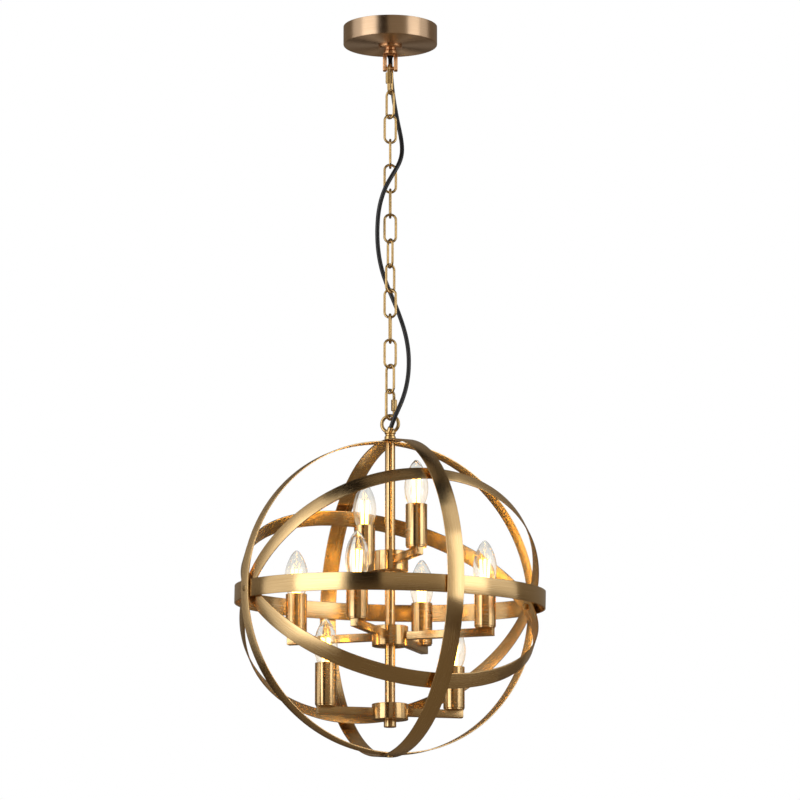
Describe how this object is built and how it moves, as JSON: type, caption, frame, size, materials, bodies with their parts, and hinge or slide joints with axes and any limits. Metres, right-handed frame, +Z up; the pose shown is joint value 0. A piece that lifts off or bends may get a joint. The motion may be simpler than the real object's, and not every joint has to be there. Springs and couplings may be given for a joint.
{
  "type": "orb chandelier",
  "caption": "Globe of nested flat brass ring bands around tiers of candle lamps on a central stem, hung by chain and quick links from a round ceiling canopy, with a black cord woven beside it.",
  "frame": {"origin": "middle of the two screw holes of the mounting strap, on the ceiling plane", "axes": "+Z up, -Y towards the viewer of the picture, +X to the viewer's right"},
  "size_m": [0.3894, 0.3896, 0.9366],
  "materials": {
    "brushed_brass": "brushed and lacquered, satin",
    "zinc_steel": "zinc plated, dull",
    "black_rubber": "matt extruded cable jacket",
    "white_plastic": "moulded, matt",
    "sleeve": "satin brass lacquer",
    "holder": "moulded, matt black",
    "nickel_cap": "nickel plated",
    "clear_glass": "clear blown glass"
  },
  "bodies": {
    "ceiling_mount": {"mounting_strap": "zinc_steel", "canopy": "brushed_brass", "canopy_nipple": "zinc_steel", "canopy_locknuts": "zinc_steel", "terminal_block": "white_plastic", "cable_bush": "black_rubber", "hanger_stirrup": "brushed_brass", "power_cord": "black_rubber"},
    "upper_quick_link": {"upper_quick_link": "brushed_brass", "upper_quick_link_nut": "brushed_brass"},
    "chain": {"chain_link_01": "brushed_brass", "chain_link_02": "brushed_brass", "chain_link_03": "brushed_brass", "chain_link_04": "brushed_brass", "chain_link_05": "brushed_brass", "chain_link_06": "brushed_brass", "chain_link_07": "brushed_brass", "chain_link_08": "brushed_brass", "chain_link_09": "brushed_brass", "chain_link_10": "brushed_brass", "chain_link_11": "brushed_brass", "chain_link_12": "brushed_brass"},
    "lower_quick_link": {"lower_quick_link": "brushed_brass", "lower_quick_link_nut": "brushed_brass"},
    "orb_frame": {"hanging_eye": "brushed_brass", "stem_core": "zinc_steel", "stem_tube_upper": "brushed_brass", "stem_tube_middle": "brushed_brass", "stem_tube_lower": "brushed_brass", "top_hub": "brushed_brass", "top_arms": "brushed_brass", "top_candle_sleeves": "sleeve", "top_lampholders": "holder", "top_bulb_caps": "nickel_cap", "top_bulbs": "clear_glass", "middle_hub": "brushed_brass", "middle_arms": "brushed_brass", "middle_candle_sleeves": "sleeve", "middle_lampholders": "holder", "middle_bulb_caps": "nickel_cap", "middle_bulbs": "clear_glass", "bottom_hub": "brushed_brass", "bottom_arms": "brushed_brass", "bottom_candle_sleeves": "sleeve", "bottom_lampholders": "holder", "bottom_bulb_caps": "nickel_cap", "bottom_bulbs": "clear_glass", "arm_leads": "black_rubber", "bottom_finial": "brushed_brass", "outer_meridian_band": "brushed_brass", "inner_meridian_band": "brushed_brass", "pivot_screws": "brushed_brass", "pole_rivet": "brushed_brass"},
    "equator_ring": {"equator_band": "brushed_brass"},
    "upper_tilting_ring": {"upper_tilting_band": "brushed_brass"},
    "lower_tilting_ring": {"lower_tilting_band": "brushed_brass"}
  },
  "joints": [
    {"name": "stirrup_swing", "type": "hinge", "parent": "ceiling_mount", "child": "upper_quick_link", "pos_m": [0, 0, -0.0553], "axis": [1, 0, 0], "range_deg": [-30, 30], "deforming": ["power_cord"]},
    {"name": "chain_swing", "type": "hinge", "parent": "upper_quick_link", "child": "chain", "pos_m": [0, 0, -0.0882], "axis": [-0.309, -0.9511, 0], "range_deg": [-25, 25], "deforming": ["power_cord"]},
    {"name": "lower_quick_link_swing", "type": "hinge", "parent": "chain", "child": "lower_quick_link", "pos_m": [0, 0, -0.4762], "axis": [0.6561, -0.7547, 0], "range_deg": [-20, 20], "deforming": ["power_cord"]},
    {"name": "orb_swing", "type": "hinge", "parent": "lower_quick_link", "child": "orb_frame", "pos_m": [0, 0, -0.51], "axis": [0.7071, 0.7071, 0], "range_deg": [-20, 20], "deforming": ["power_cord"]},
    {"name": "equator_tilt", "type": "hinge", "parent": "orb_frame", "child": "equator_ring", "pos_m": [0, 0, -0.73635], "axis": [-0.9143, -0.4051, 0], "range_deg": [-77.3, 82.7]},
    {"name": "upper_band_tilt", "type": "hinge", "parent": "orb_frame", "child": "upper_tilting_ring", "pos_m": [0, 0, -0.73635], "axis": [-0.9143, -0.4051, 0], "range_deg": [-125.2, 34.8]},
    {"name": "lower_band_tilt", "type": "hinge", "parent": "orb_frame", "child": "lower_tilting_ring", "pos_m": [0, 0, -0.73635], "axis": [-0.9143, -0.4051, 0], "range_deg": [-40, 120]}
  ]
}
